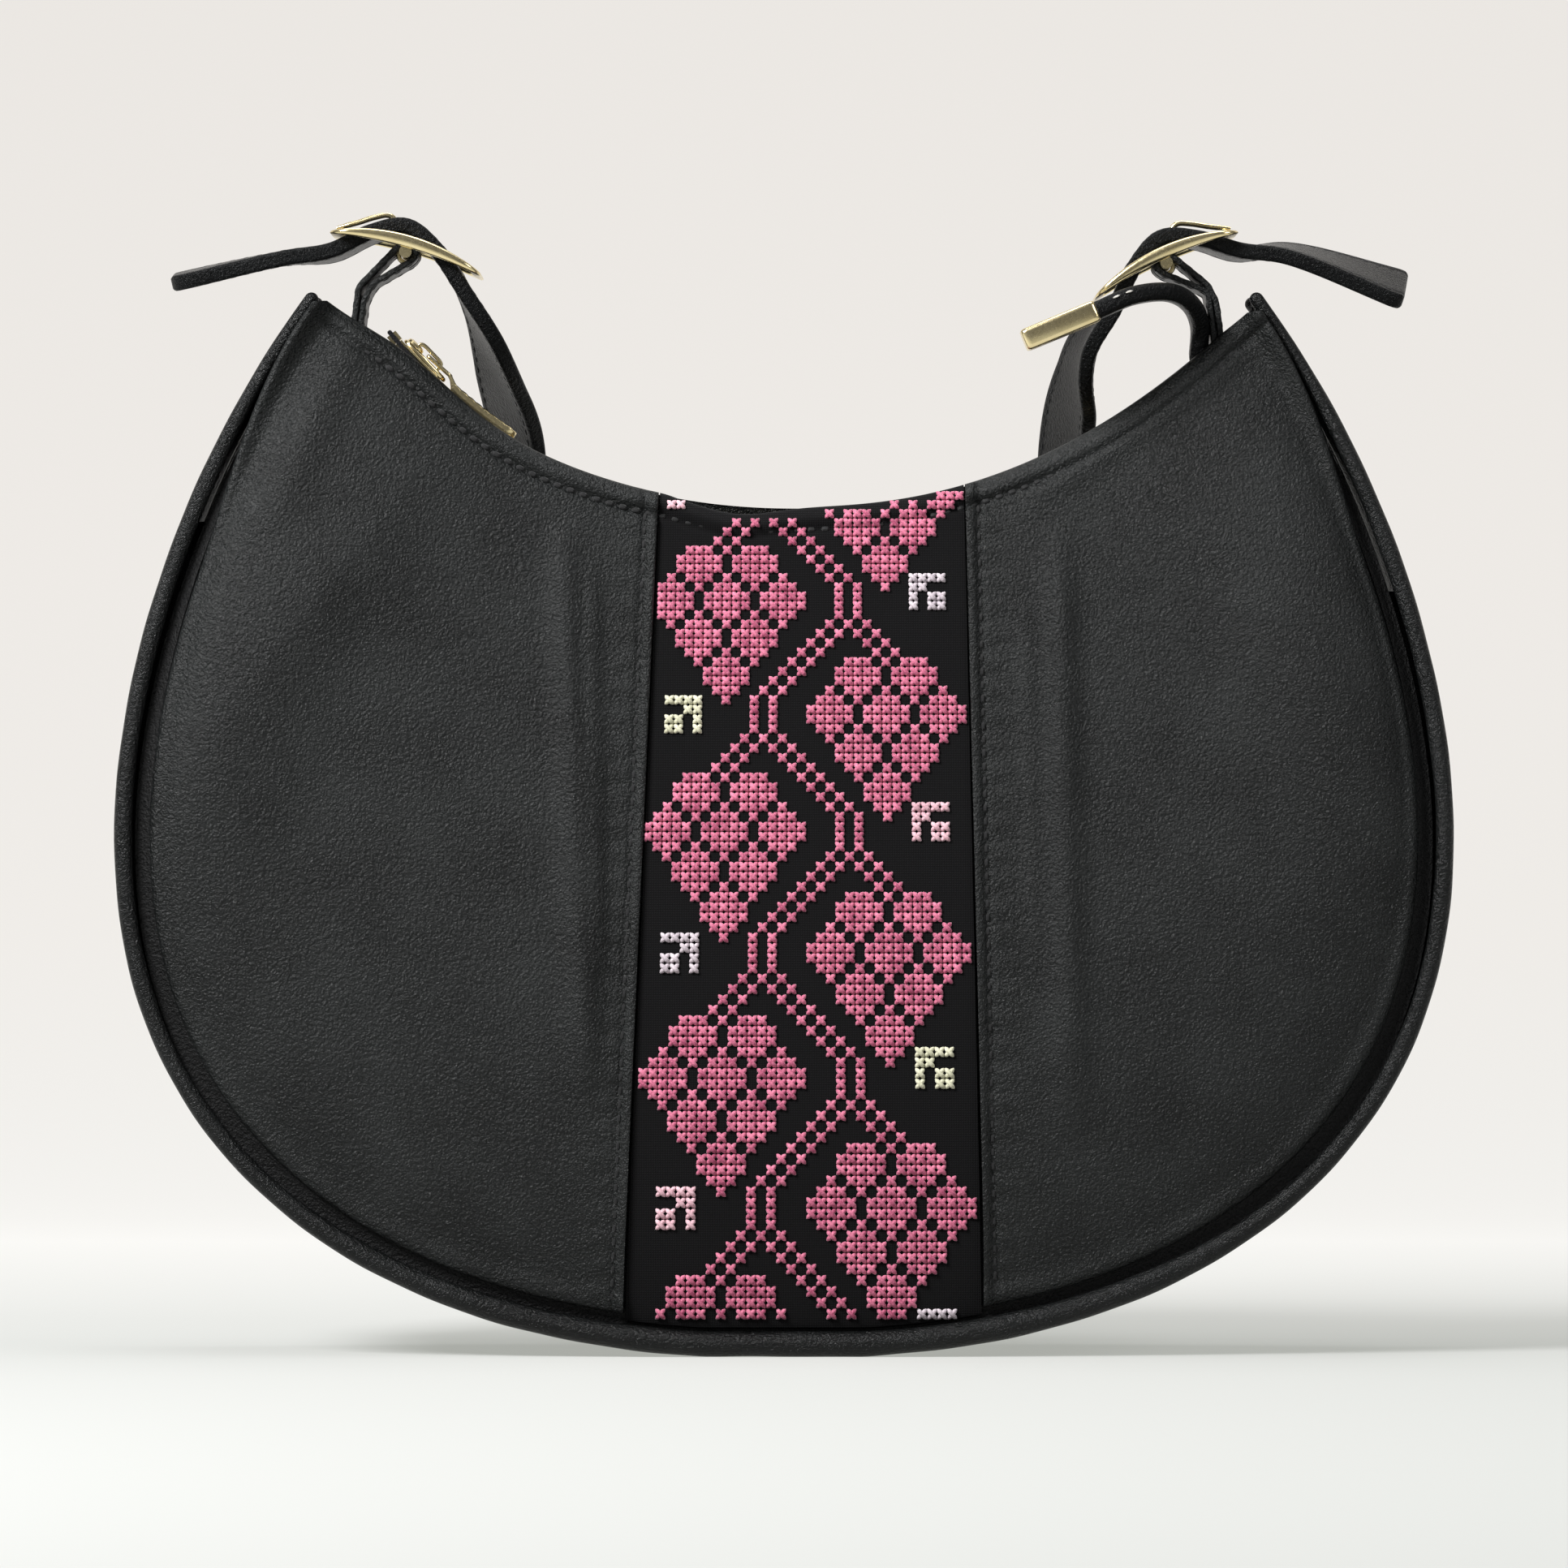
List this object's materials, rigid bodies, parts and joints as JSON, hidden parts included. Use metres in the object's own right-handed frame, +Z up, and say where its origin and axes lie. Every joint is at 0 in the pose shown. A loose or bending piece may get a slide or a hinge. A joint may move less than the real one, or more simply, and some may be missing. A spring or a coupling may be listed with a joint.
{
  "type": "half moon shoulder bag",
  "caption": "Half moon leather shoulder bag with a cross-stitched front band, corded edges, a curved top zip and a buckled shoulder strap.",
  "frame": {"origin": "middle of the flat patch at the bottom of the gusset, on which the bag stands", "axes": "+X to the right along the bag's width, +Y towards its back, +Z up"},
  "size_m": [0.34, 0.0945, 0.2918],
  "materials": {
    "black_leather": "fine-grained, satin",
    "band_fabric": "black woven cloth with pink cross stitch",
    "black_textile": "matt woven textile",
    "gold_metal": "polished, pale gold plated"
  },
  "bodies": {
    "bag": {"front_panel_left": "black_leather", "front_panel_right": "black_leather", "front_centre_band": "band_fabric", "back_panel": "black_leather", "gusset": "black_leather", "front_piping": "black_leather", "back_piping": "black_leather", "front_mouth_facing": "black_leather", "back_mouth_facing": "black_leather", "front_zip_tape": "black_textile", "back_zip_tape": "black_textile", "front_zip_teeth": "gold_metal", "back_zip_teeth": "gold_metal", "zip_top_stop": "gold_metal", "zip_bottom_stop": "gold_metal", "zip_tail_tab": "black_leather", "zip_tail_cap": "gold_metal", "lining": "black_textile", "inner_pocket": "black_textile", "left_corner_tab": "black_leather", "right_corner_tab": "black_leather", "left_buckle_frame": "gold_metal", "right_buckle_frame": "gold_metal", "left_strap_end": "black_leather", "right_strap_end": "black_leather"},
    "zip_slider": {"zip_slider": "gold_metal"},
    "zip_puller": {"zip_puller": "gold_metal"},
    "shoulder_strap": {"shoulder_strap": "black_leather"},
    "left_prong": {"left_buckle_prong": "gold_metal"},
    "right_prong": {"right_buckle_prong": "gold_metal"}
  },
  "joints": [
    {"name": "zip_travel", "type": "hinge", "parent": "bag", "child": "zip_slider", "pos_m": [0.0057, 0, 0.3482], "axis": [0, -1, 0], "range_deg": [0, 68]},
    {"name": "puller_flip", "type": "hinge", "parent": "zip_slider", "child": "zip_puller", "pos_m": [-0.09101, 0, 0.2548], "axis": [0, -1, 0], "range_deg": [0, 15]},
    {"name": "strap_swing", "type": "hinge", "parent": "bag", "child": "shoulder_strap", "pos_m": [0, 0, 0.26], "axis": [1, 0, 0], "range_deg": [0, 140]},
    {"name": "left_prong_lift", "type": "hinge", "parent": "bag", "child": "left_prong", "pos_m": [-0.09654, 0, 0.28108], "axis": [0, 1, 0], "range_deg": [0, 20]},
    {"name": "right_prong_lift", "type": "hinge", "parent": "bag", "child": "right_prong", "pos_m": [0.09753, 0, 0.27826], "axis": [0, -1, 0], "range_deg": [0, 20]}
  ]
}
